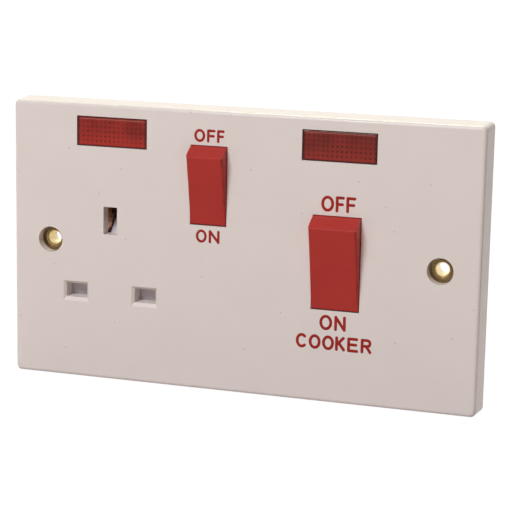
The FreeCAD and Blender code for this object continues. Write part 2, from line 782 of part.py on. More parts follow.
def plunger_spring(switch, pole, x):
    """The spring behind a plunger, in the rocker's tube."""
    length = f"(plunger_start - ({switch.spring_seat}))"
    spring = coil(f"{pole}_spring_coil", "plunger_dia - plunger_gap", length, "plunger_spring_turns")
    place(spring, x, switch.spring_seat, "0", ALONG["y"])
    return switch.tilted(group(f"{pole}_plunger_spring", [spring]))


def lever(switch, pole, x):
    """A see-saw contact lever on its ridge, with a domed contact at its upper end."""
    name = f"{pole}_lever"
    top, under = "-lever_rise", "(lever_thick - lever_rise)"
    bar = box(f"{name}_bar", about("0", "lever_width / 2"), (top, under), about("0", "lever_half"))
    groove = rod(f"{name}_groove", "x", "ridge_dia / 2 + ridge_gap", about("0", "lever_width"))
    contact = dome(f"{name}_contact", "contact_dome_dia / 2", y="-contact_dome_inset", z="contact_arm")
    piece = fuse(name, [cut(f"{name}_grooved", bar, [groove]), contact])
    place(piece, f"{switch.x} + {x}", RIDGE_Y, switch.z, FreeCAD.Rotation(-X_AXIS, number("lever_tilt")))
    bind(piece, "Placement.Rotation.Angle", "lever_tilt")
    return piece


def feed_arm(name, x, z, level, foot):
    """A strip that carries a lever: a rounded ridge, a leg to the back and a run down to its foot."""
    width = about(x, "lever_width / 2")
    ridge = rod(f"{name}_ridge", "x", "ridge_dia / 2", width, y=RIDGE_Y, z=z)
    leg_half = "ridge_dia / 2"
    angle = profile(f"{name}_angle", "YZ_Plane", [
        (RIDGE_Y, f"{z} - {leg_half}"),
        (RIDGE_Y, f"{z} + {leg_half}"),
        (f"{level} + strip_thick", f"{z} + {leg_half}"),
        (f"{level} + strip_thick", foot),
        (level, foot),
        (level, f"{z} - {leg_half}"),
    ], *width)
    return [ridge, angle]


def terminal(name, x, z_near, upward, arm):
    """A brass terminal block with a tunnel for its conductor and a tapped hole from behind."""
    far = f"({z_near} {'+' if upward else '-'} terminal_height)"
    z_span = (z_near, far) if upward else (far, z_near)
    block = box(f"{name}_block", about(x, "terminal_width / 2"), (TERMINAL_Y, FLOOR_Y), z_span)
    tunnel_span = (f"{z_span[0]} - overrun", f"{z_span[1]} + overrun")
    tunnel = rod(f"{name}_tunnel", "z", "tunnel_dia / 2", tunnel_span, x, TUNNEL_Y)
    tapped_span = (TUNNEL_Y, f"{FLOOR_Y} + overrun")
    tapped = rod(f"{name}_tapped", "y", "terminal_screw_dia / 2 + screw_gap", tapped_span, x,
                 z=f"({z_span[0]} + {z_span[1]}) / 2")
    solid = fuse(f"{name}_solid", [block] + arm) if arm else block
    return cut(name, solid, [tunnel, tapped])


def terminal_places():
    """Each terminal: its name, X, near face in Z, and whether its conductor enters from above."""
    below, above = "(cooker_rocker_z - terminal_clear)", "(cooker_rocker_z + terminal_clear)"
    left, right = "(cooker_rocker_x - terminal_offset)", "(cooker_rocker_x + terminal_offset)"
    return (
        ("feed_neutral", left, below, False),
        ("feed_live", right, below, False),
        ("load_neutral", left, above, True),
        ("load_live", right, above, True),
        ("earth", "earth_terminal_x", above, True),
    )


def terminals():
    """The five terminals, the cooker's four with the strips that reach its levers."""
    nodes = {}
    lap = "strip_thick"
    for name, x, near, upward in terminal_places():
        arm = []
        pole_x = f"(cooker_rocker_x + {COOKER.poles.get('cooker_' + name.split('_')[-1], '0')})"
        if name.startswith("feed"):
            level = LIVE_FEED_Y if name == "feed_live" else NEUTRAL_FEED_Y
            arm = feed_arm(f"{name}_arm", pole_x, "cooker_rocker_z", level, f"{near} - {lap}")
        if name.startswith("load"):
            pad_foot = "cooker_rocker_z + contact_arm - contact_dome_dia / 2"
            arm = [box(f"{name}_arm", about(pole_x, "lever_width / 2"), (PAD_Y, PAD_BACK),
                       (pad_foot, f"{near} + {lap}"))]
        nodes[f"{name}_terminal"] = terminal(f"{name}_terminal", x, near, upward, arm)
    return nodes


def screw(name, x, z, under_head, shank_dia, shank_length, head_dia, head_height):
    """A cheese-headed screw along Y, its head to the back and a slot across the head."""
    blank = turned(f"{name}_blank", [
        ("0", f"-({shank_length})"),
        (f"{shank_dia} / 2", f"-({shank_length})"),
        (f"{shank_dia} / 2", "0"),
        (f"{head_dia} / 2", "0"),
        (f"{head_dia} / 2", head_height),
        ("0", head_height),
    ])
    slot_depth = (f"{head_height} / 2", f"{head_height} + overrun")
    slot = box(f"{name}_slot", about("0", head_dia), slot_depth, about("0", "screw_slot_half"))
    return place(cut(name, blank, [slot]), x, under_head, z)


def terminal_screws():
    """The clamping screws of the five terminals."""
    pieces = []
    for name, x, near, upward in terminal_places():
        middle = f"({near} {'+' if upward else '-'} terminal_height / 2)"
        length = "(terminal_depth - tunnel_inset - tunnel_dia / 2 + head_gap)"
        pieces.append(screw(f"{name}_screw", x, middle, f"{FLOOR_Y} + head_gap", "terminal_screw_dia", length,
                            "terminal_head_dia", "terminal_head_height"))
    return group("terminal_screws", pieces)


def base_screws():
    """The screws that hold the base to the plate's pillars."""
    pieces = []
    for index, (x, z) in enumerate(EARS):
        pieces.append(screw(f"base_screw_{index}", x, z, f"{EAR_BACK} - base_head_height", "base_screw_dia",
                            "base_screw_length", "base_head_dia", "base_head_height"))
    return group("base_screws", pieces)


def shutter():
    """The shutter: wings over the line slots, a stem, and a ramp behind the earth slot."""
    wing_reach = "pin_offset + line_slot_width / 2 + shutter_lap"
    wing_top = f"({LINE_Z} + line_slot_height / 2 + shutter_lap)"
    stem_top = f"({EARTH_SLOT_FOOT} - shutter_gap)"
    y_span = (SHUTTER_Y, SHUTTER_BACK)
    plate = profile("shutter_plate", "XZ_Plane", [
        (f"socket_x - ({wing_reach})", SHUTTER_FOOT),
        (f"socket_x + ({wing_reach})", SHUTTER_FOOT),
        (f"socket_x + ({wing_reach})", wing_top),
        ("socket_x + shutter_stem_half", wing_top),
        ("socket_x + shutter_stem_half", f"{stem_top} - shutter_travel"),
        ("socket_x + shutter_ramp_half", stem_top),
        ("socket_x - shutter_ramp_half", stem_top),
        ("socket_x - shutter_stem_half", f"{stem_top} - shutter_travel"),
        ("socket_x - shutter_stem_half", wing_top),
        (f"socket_x - ({wing_reach})", wing_top),
    ], *y_span)
    nose = f"({EARTH_PAD_Y} + shutter_gap)"
    ramp = profile("shutter_ramp", "YZ_Plane", [
        (nose, stem_top),
        (f"{nose} + shutter_travel", f"{stem_top} + shutter_travel"),
        (f"{nose} + shutter_travel", f"{stem_top} + shutter_travel / 2"),
        (SHUTTER_BACK, stem_top),
        (SHUTTER_BACK, f"{stem_top} - shutter_travel"),
        (SHUTTER_Y, f"{stem_top} - shutter_travel"),
        (SHUTTER_Y, f"{stem_top} - shutter_thick"),
        (nose, f"{stem_top} - shutter_thick / 2"),
    ], *about("socket_x", "shutter_ramp_half"))
    peg = rod("shutter_peg", "z", "spring_peg_dia / 2", (f"{SHUTTER_FOOT} - spring_peg_length", SHUTTER_FOOT),
              x="socket_x", y=SHUTTER_MID_Y)
    return fuse("shutter", [plate, ramp, peg])


def shutter_spring():
    """The spring that lifts the shutter, between the plate's ledge and the shutter's foot."""
    spring = coil("shutter_spring", "shutter_spring_dia", "shutter_spring_length",
                  "shutter_spring_turns")
    return place(spring, "socket_x", SHUTTER_MID_Y, LEDGE_Z)


def line_contact(name, x):
    """A clip for a line pin: two leaves above and below it, flared at the mouth."""
    half = "line_clip_gap / 2"
    start = f"({SHUTTER_BACK} + clip_start)"
    neck = f"({start} + clip_flare_length)"
    path = [
        (start, f"{LINE_Z} - {half} - clip_flare"),
        (neck, f"{LINE_Z} - {half}"),
        (f"{PAD_Y} - clip_thick", f"{LINE_Z} - {half}"),
        (f"{PAD_Y} - clip_thick", f"{LINE_Z} + {half}"),
        (neck, f"{LINE_Z} + {half}"),
        (start, f"{LINE_Z} + {half} + clip_flare"),
    ]
    turn = FreeCAD.Rotation(Y_AXIS, Z_AXIS, X_AXIS, "XYZ")
    return folded(name, turn, path, "clip_thick", X_AXIS, *about(x, "clip_width / 2"))


def earth_contact():
    """A clip for the earth pin: two leaves beside it, with the shutter's ramp between them."""
    half = "earth_clip_gap / 2"
    start = f"({EARTH_PAD_Y} + shutter_gap)"
    neck = f"({start} + clip_flare_length)"
    path = [
        (f"socket_x + {half} + clip_flare", start),
        (f"socket_x + {half}", neck),
        (f"socket_x + {half}", f"{STRAP_Y} - clip_thick"),
        (f"socket_x - {half}", f"{STRAP_Y} - clip_thick"),
        (f"socket_x - {half}", neck),
        (f"socket_x - {half} - clip_flare", start),
    ]
    return folded("earth_contact", FreeCAD.Rotation(), path, "clip_thick", Z_AXIS, *EARTH_CLIP)


def strips():
    """The strips, stamped from flat sheet, that join contacts, switches and terminals."""
    half = "link_width / 2"
    block_side = "(cooker_rocker_x - terminal_offset - terminal_width / 2)"
    switch_foot = "(socket_rocker_z + contact_arm - contact_dome_dia / 2)"
    switch_top = "(socket_rocker_z + contact_arm + contact_dome_dia / 2)"
    earth_half = "(earth_clip_gap / 2 + clip_thick)"
    clip_half = "(line_clip_gap / 2 + clip_thick)"
    terminal_foot = "(cooker_rocker_z + terminal_clear)"
    nodes = {}
    nodes["neutral_link"] = profile("neutral_link", "XZ_Plane", [
        (f"{NEUTRAL_X} - {half}", f"{NEUTRAL_RUN} - {half}"),
        (block_side, f"{NEUTRAL_RUN} - {half}"),
        (block_side, f"{NEUTRAL_RUN} + {half}"),
        (f"{NEUTRAL_X} + {half}", f"{NEUTRAL_RUN} + {half}"),
        (f"{NEUTRAL_X} + {half}", f"{LINE_Z} + {clip_half}"),
        (f"{NEUTRAL_X} - {half}", f"{LINE_Z} + {clip_half}"),
    ], PAD_Y, PAD_BACK)
    nodes["live_link"] = profile("live_link", "XZ_Plane", [
        (f"socket_rocker_x - {half}", f"{LIVE_RUN} - {half}"),
        (f"{COOKER_LIVE_X} + {half}", f"{LIVE_RUN} - {half}"),
        (f"{COOKER_LIVE_X} + {half}", f"{LIVE_RUN} + {half}"),
        (f"socket_rocker_x + {half}", f"{LIVE_RUN} + {half}"),
        (f"socket_rocker_x + {half}", "socket_rocker_z - contact_arm"),
        (f"socket_rocker_x - {half}", "socket_rocker_z - contact_arm"),
    ], LINK_Y, LINK_BACK)
    nodes["socket_switch_contact"] = profile("socket_switch_contact", "XZ_Plane", [
        (f"{LIVE_X} - {half}", f"{LINE_Z} - {clip_half}"),
        (f"{LIVE_X} + {half}", f"{LINE_Z} - {clip_half}"),
        (f"{LIVE_X} + {half}", switch_foot),
        ("socket_rocker_x + lever_width / 2", switch_foot),
        ("socket_rocker_x + lever_width / 2", switch_top),
        (f"{LIVE_X} - {half}", switch_top),
    ], PAD_Y, PAD_BACK)
    nodes["earth_strap"] = profile("earth_strap", "XZ_Plane", [
        (f"socket_x - {earth_half}", f"{STRAP_RUN} - {half}"),
        (f"earth_terminal_x + {half}", f"{STRAP_RUN} - {half}"),
        (f"earth_terminal_x + {half}", terminal_foot),
        (f"earth_terminal_x - {half}", terminal_foot),
        (f"earth_terminal_x - {half}", f"{STRAP_RUN} + {half}"),
        (f"socket_x + {earth_half}", f"{STRAP_RUN} + {half}"),
        (f"socket_x + {earth_half}", EARTH_CLIP[1]),
        (f"socket_x - {earth_half}", EARTH_CLIP[1]),
    ], STRAP_Y, STRAP_BACK)
    feed = feed_arm("socket_feed", "socket_rocker_x", "socket_rocker_z", LIVE_FEED_Y,
                    "(socket_rocker_z - contact_arm - link_width)")
    nodes["socket_switch_feed"] = fuse("socket_switch_feed", feed)
    return nodes


def base_outline(inset):
    """The base's stepped outline, inset by a wall: it keeps clear of the wall box's left lug."""
    left, right = f"base_left + {inset}", f"base_right - {inset}"
    bottom, top = f"base_bottom + {inset}", f"base_top - {inset}"
    step_x, step_z = f"base_step_x + {inset}", f"base_step_z - {inset}"
    return [(left, bottom), (right, bottom), (right, top), (step_x, top), (step_x, step_z), (left, step_z)]


def base_posts():
    """Posts on the base's floor that back the contacts and strips, the trunnions and the shutter."""
    earth_clip_z = f"(({EARTH_CLIP[0]} + {EARTH_CLIP[1]}) / 2)"
    places = (
        ("neutral_clip", NEUTRAL_X, LINE_Z, PAD_BACK),
        ("live_clip", LIVE_X, LINE_Z, PAD_BACK),
        ("socket_pad", "socket_rocker_x", "(socket_rocker_z + contact_arm)", PAD_BACK),
        ("earth_clip", "socket_x", earth_clip_z, STRAP_BACK),
        ("strap", f"(({LIVE_X} + socket_rocker_x) / 2)", STRAP_RUN, STRAP_BACK),
        ("socket_link", "socket_rocker_x", "(socket_rocker_z - contact_arm - link_width / 2)", LINK_BACK),
        ("cooker_link", COOKER_LIVE_X, LIVE_RUN, LINK_BACK),
    )
    pieces = []
    for name, x, z, level in places:
        size = "contact_dome_dia / 2" if name == "socket_pad" else "post_half"
        pieces.append(box(f"{name}_post", about(x, size), (level, FLOOR_Y), about(z, size)))
    for switch in (SOCKET, COOKER):
        for side, sign in (("left", -1), ("right", 1)):
            low, high = cheek_span(switch, sign)
            pieces.append(box(f"{switch.name}_{side}_keeper", (f"{low} + post_gap", f"{high} - post_gap"),
                              (f"{PIVOT_Y} + trunnion_dia / 2 + post_gap", FLOOR_Y),
                              about(switch.z, "trunnion_dia / 2 - post_gap")))
    for side, sign in (("left", "-1"), ("right", "1")):
        near = "(shutter_ramp_half + shutter_gap + guide_thick / 2)"
        pieces.append(box(f"{side}_shutter_rib", about(f"socket_x + {sign} * {near}", "guide_thick / 2"),
                          (f"{SHUTTER_BACK} + shutter_gap", FLOOR_Y),
                          (f"{GUIDE_TOP} - guide_length", f"{GUIDE_TOP} - guide_length / 2")))
    return pieces


def pole_barrier():
    """The wall between the cooker switch's two poles, with a gate that the live link passes."""
    wall = box("barrier_wall", about("cooker_rocker_x", "barrier_thick / 2"), (RIDGE_Y, FLOOR_Y),
               about("cooker_rocker_z", "terminal_clear + terminal_height"))
    gate_depth = (f"{LINK_Y} - post_gap", f"{FLOOR_Y} - post_gap")
    gate = box("barrier_gate", about("cooker_rocker_x", "barrier_thick"), gate_depth,
               about(LIVE_RUN, "link_width / 2 + post_gap"))
    return cut("pole_barrier", wall, [gate])


def base_ears():
    """The four ears by which the base is screwed to the plate's pillars."""
    right_wall = "base_right - base_wall"
    left_wall = "base_step_x + base_wall"
    y_span = (EAR_FRONT, EAR_BACK)
    spans = (
        ((right_wall, "right_ear_x + ear_half"), about("right_ear_z", "ear_half")),
        ((right_wall, "right_ear_x + ear_half"), about("-right_ear_z", "ear_half")),
        (("left_ear_x - ear_half", left_wall), about("upper_left_ear_z", "ear_half")),
        (about("left_ear_x", "ear_half"), ("lower_left_ear_z - ear_half", "base_bottom + base_wall")),
    )
    return [box(f"ear_{index}", x, y_span, z) for index, (x, z) in enumerate(spans)]


def base_openings(back):
    """Holes in the base: conductor entries open to the back, screw windows and ear holes."""
    tools = []
    entry = "(tunnel_dia / 2 + entry_gap)"
    for name, x, near, upward in terminal_places():
        wall = about("base_top" if upward else "base_bottom", "base_wall + overrun")
        entry_depth = (f"{TUNNEL_Y} - {entry}", f"{back} + overrun")
        tools.append(box(f"{name}_entry", about(x, entry), entry_depth, wall))
        middle = f"({near} {'+' if upward else '-'} terminal_height / 2)"
        tools.append(rod(f"{name}_screw_window", "y", "terminal_head_dia / 2 + head_gap",
                         (FLOOR_Y, f"{back} + overrun"), x, z=middle))
    for index, (x, z) in enumerate(EARS):
        hole_span = (f"{EAR_FRONT} - overrun", EAR_BACK)
        tools.append(rod(f"ear_hole_{index}", "y", "base_screw_dia / 2 + screw_gap", hole_span, x, z=z))
        seat_span = (f"{EAR_BACK} - base_head_height", f"{EAR_BACK} + overrun")
        tools.append(rod(f"ear_seat_{index}", "y", "base_head_dia / 2 + head_gap", seat_span, x, z=z))
    return tools


def rear_base():
    """The moulded base behind the plate, open to the front."""
    front = f"({FACE} + base_front_depth)"
    back = f"({FLOOR_Y} + base_wall)"
    block = profile("base_block", "XZ_Plane", base_outline("0"), front, back)
    middle_y = number(f"({front} + {back}) / 2")
    round_edges(block, (
        ("base_corner_round", lambda edge: edge.BoundBox.YMin < middle_y < edge.BoundBox.YMax),
        ("base_back_round", lambda edge: edge.BoundBox.YMin > middle_y),
    ))
    hollow = profile("base_hollow", "XZ_Plane", base_outline("base_wall"), f"{front} - overrun", FLOOR_Y)
    shell = cut("base_shell", block, [hollow])
    solid = fuse("base_solid", [shell, pole_barrier()] + base_posts() + base_ears())
    return cut("rear_base", solid, base_openings(back))


def build():
    """Make every piece; the name of each is the name of its file."""
    nodes = {"faceplate": faceplate(), "rear_base": rear_base()}
    for side, x in fixing_points():
        nodes[f"{side}_eyelet"] = eyelet(f"{side}_eyelet", x)
    for owner, x in windows():
        nodes[f"{owner}_neon_lens"] = lens(f"{owner}_neon_lens", x)
        nodes[f"{owner}_neon_lamp"] = lamp(f"{owner}_neon_lamp", x)
    for switch in (SOCKET, COOKER):
        nodes[f"{switch.name}_rocker"] = rocker(switch)
        for pole, x in switch.poles.items():
            nodes[f"{pole}_plunger"] = plunger(switch, pole, x)
            nodes[f"{pole}_plunger_spring"] = plunger_spring(switch, pole, x)
            nodes[f"{pole}_lever"] = lever(switch, pole, x)
    nodes["shutter"] = shutter()
    nodes["shutter_spring"] = shutter_spring()
    nodes["neutral_contact"] = line_contact("neutral_contact", NEUTRAL_X)
    nodes["live_contact"] = line_contact("live_contact", LIVE_X)
    nodes["earth_contact"] = earth_contact()
    nodes.update(strips())
    nodes.update(terminals())
    nodes["terminal_screws"] = terminal_screws()
    nodes["base_screws"] = base_screws()
    return nodes


def check(nodes):
    """Stop if any object failed or any piece has no valid shape."""
    failed = [item.Label for item in doc.Objects if {"Invalid", "Error"} & set(item.State)]
    broken = [name for name, item in nodes.items() if item.Shape.isNull() or not item.Shape.isValid()]
    if failed or broken:
        raise RuntimeError(f"failed objects: {failed}; broken shapes: {broken}")


def export(nodes):
    """Write each piece to its own file."""
    os.makedirs("parts", exist_ok=True)
    for name, item in nodes.items():
        item.Label = name
        item.Shape.exportStep(f"parts/{name}.step")
        print(name, len(item.Shape.Solids), round(item.Shape.Volume, 2))


pieces_by_name = build()
doc.recompute()
check(pieces_by_name)
export(pieces_by_name)
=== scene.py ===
"""Looks of a cooker control unit: materials, lettering, light and the photograph's view."""

import json
import math

import bpy
from mathutils import Matrix, Vector

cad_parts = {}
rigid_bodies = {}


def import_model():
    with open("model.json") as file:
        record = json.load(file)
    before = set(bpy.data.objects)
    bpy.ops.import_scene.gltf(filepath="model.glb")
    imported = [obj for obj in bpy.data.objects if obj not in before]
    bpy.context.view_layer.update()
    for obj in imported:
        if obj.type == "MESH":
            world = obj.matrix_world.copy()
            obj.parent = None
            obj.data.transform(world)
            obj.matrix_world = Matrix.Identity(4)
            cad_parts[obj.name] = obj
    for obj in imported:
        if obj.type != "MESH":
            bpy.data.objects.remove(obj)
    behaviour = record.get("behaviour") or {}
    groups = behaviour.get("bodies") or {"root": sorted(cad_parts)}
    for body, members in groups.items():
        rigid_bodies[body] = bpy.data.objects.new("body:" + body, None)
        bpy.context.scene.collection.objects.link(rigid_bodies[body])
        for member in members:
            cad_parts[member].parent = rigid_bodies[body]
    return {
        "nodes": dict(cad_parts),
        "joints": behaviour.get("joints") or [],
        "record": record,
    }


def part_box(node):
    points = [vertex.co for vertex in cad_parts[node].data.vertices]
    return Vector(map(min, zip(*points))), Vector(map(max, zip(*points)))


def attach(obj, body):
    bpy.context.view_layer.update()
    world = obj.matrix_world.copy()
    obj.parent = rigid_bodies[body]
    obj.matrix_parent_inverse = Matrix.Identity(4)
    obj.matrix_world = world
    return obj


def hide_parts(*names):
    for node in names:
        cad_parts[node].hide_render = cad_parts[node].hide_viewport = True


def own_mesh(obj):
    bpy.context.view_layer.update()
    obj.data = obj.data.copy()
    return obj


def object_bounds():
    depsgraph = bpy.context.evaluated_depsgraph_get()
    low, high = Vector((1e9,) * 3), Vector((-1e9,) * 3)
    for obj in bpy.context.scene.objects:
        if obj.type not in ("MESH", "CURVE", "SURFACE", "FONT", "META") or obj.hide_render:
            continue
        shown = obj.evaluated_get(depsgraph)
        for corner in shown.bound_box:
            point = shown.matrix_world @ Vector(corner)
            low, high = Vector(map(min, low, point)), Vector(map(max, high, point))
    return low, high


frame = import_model()
cad_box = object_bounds()

MM = 0.001
NODES = frame["nodes"]

# The camera, as fitted to the plate's corners, the fixing centres and the pin layout.
CAMERA_YAW = math.radians(18.02)
CAMERA_PITCH = math.radians(11.415)
CAMERA_ROLL = math.radians(1.098)
CAMERA_DISTANCE = 546.96 * MM
CAMERA_TARGET = Vector((2.331, 0, -1.872)) * MM
CAMERA_LENS_MM = 129.06
CAMERA_SENSOR_MM = 36.0

# Colours, linear.
PLATE_WHITE = (0.80, 0.742, 0.684)
BASE_IVORY = (0.66, 0.62, 0.53)
ROCKER_RED = (0.462, 0.045, 0.036)
LENS_RED = (0.36, 0.024, 0.014)
# The second window's red: the lens red darkened as painted shade.
PAINTED_SHADE_LENS_RED = (0.245, 0.022, 0.013)
# A painted highlight's pink, for the thin line below each window's upper lip.
LENS_PAINTED_GLINT_PINK = (0.46, 0.16, 0.13)
INK_RED = (0.36, 0.026, 0.019)
SPECK_GREY = (0.34, 0.29, 0.27)
SHUTTER_GREY = (0.63, 0.59, 0.64)
PLUNGER_CREAM = (0.70, 0.66, 0.55)
BRASS = (0.78, 0.53, 0.20)
EYELET_BRASS = (0.93, 0.76, 0.42)
# The eyelets' groove colour: tarnish and painted shade.
EYELET_TARNISH_AND_SHADE = (0.20, 0.135, 0.07)
BRONZE = (0.74, 0.50, 0.34)
STEEL = (0.52, 0.51, 0.49)
ZINC = (0.62, 0.60, 0.52)
LAMP_GLASS = (0.90, 0.88, 0.84)

# Moulded plastic: the size of its mottle and of its gloss patches, and how its fine skin is raised.
MOTTLE_SIZE = 14 * MM
GLOSS_SIZE = 5 * MM
GLOSS_SPREAD = 0.05
SKIN_DETAIL = 4
SKIN_STRENGTH = 0.5

# The plate's specks: how far apart and how large, how strong, and the share that is full strength.
SPECK_PITCH = 22 * MM
SPECK_RADIUS = 0.28 * MM
SPECK_STRENGTH = 0.7
SPECK_CORE = 0.2

# Metal: its stains, its uneven polish and its drawn marks.
STAIN_SIZE = 2.5 * MM
STAIN_SPAN = (0.45, 0.75)
STAIN_SHADE = 0.55
POLISH_SIZE = 0.6 * MM
POLISH_LESS = 0.06
POLISH_MORE = 0.1
SCRATCH_SIZE = 0.12 * MM
SCRATCH_DETAIL = 2
SCRATCH_DEPTH = 0.002 * MM
SCRATCH_STRENGTH = 0.3

# Clear mouldings: their haze and their faint clouds.
HAZE_SIZE = 3 * MM
GLASS_HAZE_SPREAD = 0.06
GLASS_CLOUD_SIZE = 6 * MM
GLASS_CLOUD_SHADE = 0.92

# The share of a soft band's width at which it begins to fade.
BAND_CORE = 0.4

# Lettering, in millimetres on the front face: each word's foot, top and stroke, and each letter's
# left and right ends.
INK_PROUD = 0.05
SMALL_STROKE = 0.78
LARGE_STROKE = 0.88
WORDS = (
    ("socket_off", 32.6, 36.45, SMALL_STROKE,
     (("O", -14.35, -10.95), ("F", -10.4, -7.75), ("F", -7.3, -4.95))),
    ("socket_on", 2.7, 6.7, SMALL_STROKE,
     (("O", -13.47, -10.05), ("N", -9.45, -6.05))),
    ("cooker_off", 14.8, 19.5, LARGE_STROKE,
     (("O", 24.75, 28.6), ("F", 29.05, 31.75), ("F", 32.2, 35.16))),
    ("cooker_on", -20.2, -15.6, LARGE_STROKE,
     (("O", 25.1, 29.0), ("N", 29.6, 33.1))),
    ("cooker_name", -26.1, -21.7, LARGE_STROKE,
     (("C", 18.07, 21.47), ("O", 22.03, 25.67), ("O", 26.08, 29.71),
      ("K", 30.04, 33.11), ("E", 33.68, 37.08), ("R", 37.72, 41.04))),
)
ARC_STEP = math.radians(12)
CAP_STEPS = 4
STROKE_ROUNDNESS = 4

# The windows: their gloss, and the flange that hides behind the plate.
LENS_SHINE = 0.15
LENS_CLEARNESS = 0.15
LENS_HAZE = (0.12, 0.2)
LENS_FLANGE = 1.0 * MM
# Their facets show as dots: where on its wave a dot starts, its shade, and how the dots vary.
FACET_PITCH = 1.4 * MM
FACET_SHIFTS = (0.5, 0.0)
DOT_START = -0.4
DOT_SHADE = 0.15
DOT_PATCH = 5 * MM
DOT_STRENGTHS = (0.35, 0.95)
# Their clouds, and the lighter foot, up to a share of the height.
LENS_CLOUD = 9 * MM
LENS_CLOUD_SPAN = (0.35, 0.65)
LENS_CLOUD_SHADES = (0.68, 1.12)
LENS_FOOT_SHADE = 1.35
LENS_FOOT_STRENGTH = 0.85
LENS_FOOT_SPAN = (0.2, 0.5)
# Their ends and lips darkened by painted shade, and a painted highlight: the pale glint below the
# upper lip.
LENS_RIM = 0.9 * MM
LENS_LIP = 0.45 * MM
LENS_RIM_PAINTED_SHADE = 0.2
LENS_RIM_STRENGTH = 0.75
LENS_GLINT = 0.42 * MM
LENS_GLINT_STRENGTH = 0.8

# The eyelets: where they stand, and the crests that stay bright while the grooves between are
# darkened, partly tarnish and partly painted shade.
EYELET_X = 60.3 * MM
EYELET_CRESTS = ((2.75 * MM, 0.3 * MM), (2.05 * MM, 0.25 * MM))

# The springs: which sliding pieces they push, their round wire, and their coils.
SPRUNG = ("shutter", "socket_plunger", "cooker_live_plunger", "cooker_neutral_plunger")
SPRING_WIRE = 0.45 * MM
SPRING_TURNS = 7
SPRING_STEPS = 20
WIRE_ROUNDNESS = 3

# The neon lamps' electrodes: their wire, and their spacing and reach as shares of the bulb.
LAMPS = ("socket_neon_lamp", "cooker_neon_lamp")
ELECTRODE_WIRE = 0.55 * MM
ELECTRODE_SPACING = 0.36
ELECTRODE_REACH = 0.72

# The floor's paper, how much of its shading the camera sees, and the glow that makes it white.
FLOOR_PAPER = (0.56, 0.49, 0.49)
FLOOR_ROUGHNESS = 0.9
FLOOR_SHADOW = 0.1
FLOOR_GLOW = 0.977

# The floor's sweep, in metres: to each side, to the front and up, and the bend behind the object.
SWEEP_SIDE = 1.6
SWEEP_REACH = 1.4
SWEEP_BACK = 0.3
SWEEP_BEND = 0.4
SWEEP_STEPS = 12

# The light all round, and the soft lights: place and size in metres, power in watts, and colour.
WORLD_TINT = (1, 0.95, 0.97)
WORLD_STRENGTH = 0.06
LIGHTS = (
    ("key", (-0.25, -1.07, 0.99), 0.5, 15.9, (0.98, 0.96, 1.0)),
    ("fill", (1.2, -0.2, 0.3), 0.4, 0.4, (1, 0.72, 0.72)),
    ("back", (-0.1, 0.45, 0.65), 0.35, 4.1, (1, 0.97, 0.74)),
)

# Where Blender's Mix node keeps its two colours and its mixed colour.
MIX_FIRST = 6
MIX_SECOND = 7
MIX_RESULT = 2


def material(name):
    """A new node material with its tree's nodes, links and shader."""
    made = bpy.data.materials.new(name)
    made.use_nodes = True
    tree = made.node_tree
    return made, tree.nodes, tree.links, tree.nodes["Principled BSDF"]


def local_point(nodes):
    """Where a shaded point lies on its piece, in metres."""
    return nodes.new("ShaderNodeTexCoord").outputs["Object"]


def noise(nodes, links, size, detail=3.0):
    """A cloudy pattern whose features are about one size, in metres."""
    pattern = nodes.new("ShaderNodeTexNoise")
    pattern.inputs["Scale"].default_value = 1 / size
    pattern.inputs["Detail"].default_value = detail
    links.new(local_point(nodes), pattern.inputs["Vector"])
    return pattern.outputs["Fac"]


def span(nodes, links, value, low, high, start=0.3, end=0.7):
    """A pattern's middle stretch, spread over a range of values."""
    mapped = nodes.new("ShaderNodeMapRange")
    mapped.inputs["From Min"].default_value = start
    mapped.inputs["From Max"].default_value = end
    mapped.inputs["To Min"].default_value = low
    mapped.inputs["To Max"].default_value = high
    links.new(value, mapped.inputs["Value"])
    return mapped.outputs["Result"]


def blend(nodes, links, factor, first, second):
    """Two colours mixed by a pattern; each is a colour or a socket."""
    mixed = nodes.new("ShaderNodeMix")
    mixed.data_type = "RGBA"
    links.new(factor, mixed.inputs["Factor"])
    for place, colour in ((MIX_FIRST, first), (MIX_SECOND, second)):
        socket = mixed.inputs[place]
        if isinstance(colour, tuple):
            socket.default_value = (*colour, 1)
        else:
            links.new(colour, socket)
    return mixed.outputs[MIX_RESULT]


def calc(nodes, links, operation, first, second=0.0):
    """One step of arithmetic; each term is a number or a socket."""
    step = nodes.new("ShaderNodeMath")
    step.operation = operation
    for socket, term in zip(step.inputs, (first, second)):
        if isinstance(term, (int, float)):
            socket.default_value = term
        else:
            links.new(term, socket)
    return step.outputs["Value"]


def scaled(colour, factor):
    """A colour made lighter or darker."""
    return tuple(channel * factor for channel in colour)


def bump(nodes, links, height, depth, strength):
    """A surface normal from a pattern of a depth in metres."""
    relief = nodes.new("ShaderNodeBump")
    relief.inputs["Strength"].default_value = strength
    relief.inputs["Distance"].default_value = depth
    links.new(height, relief.inputs["Height"])
    return relief.outputs["Normal"]


def moulded(name, colour, roughness, grain=0.35 * MM, depth=0.012 * MM, mottle=0.03, shine=0.5):
    """A moulded plastic: a fine skin texture, a faint mottle and an uneven gloss."""
    made, nodes, links, shader = material(name)
    shader.inputs["Specular IOR Level"].default_value = shine
    cloud = span(nodes, links, noise(nodes, links, MOTTLE_SIZE), 0, 1)
    tint = blend(nodes, links, cloud, scaled(colour, 1 - mottle), scaled(colour, 1 + mottle))
    links.new(tint, shader.inputs["Base Color"])
    patches = noise(nodes, links, GLOSS_SIZE)
    gloss = span(nodes, links, patches, roughness - GLOSS_SPREAD, roughness + GLOSS_SPREAD)
    links.new(gloss, shader.inputs["Roughness"])
    skin = noise(nodes, links, grain, SKIN_DETAIL)
    links.new(bump(nodes, links, skin, depth, SKIN_STRENGTH), shader.inputs["Normal"])
    return made


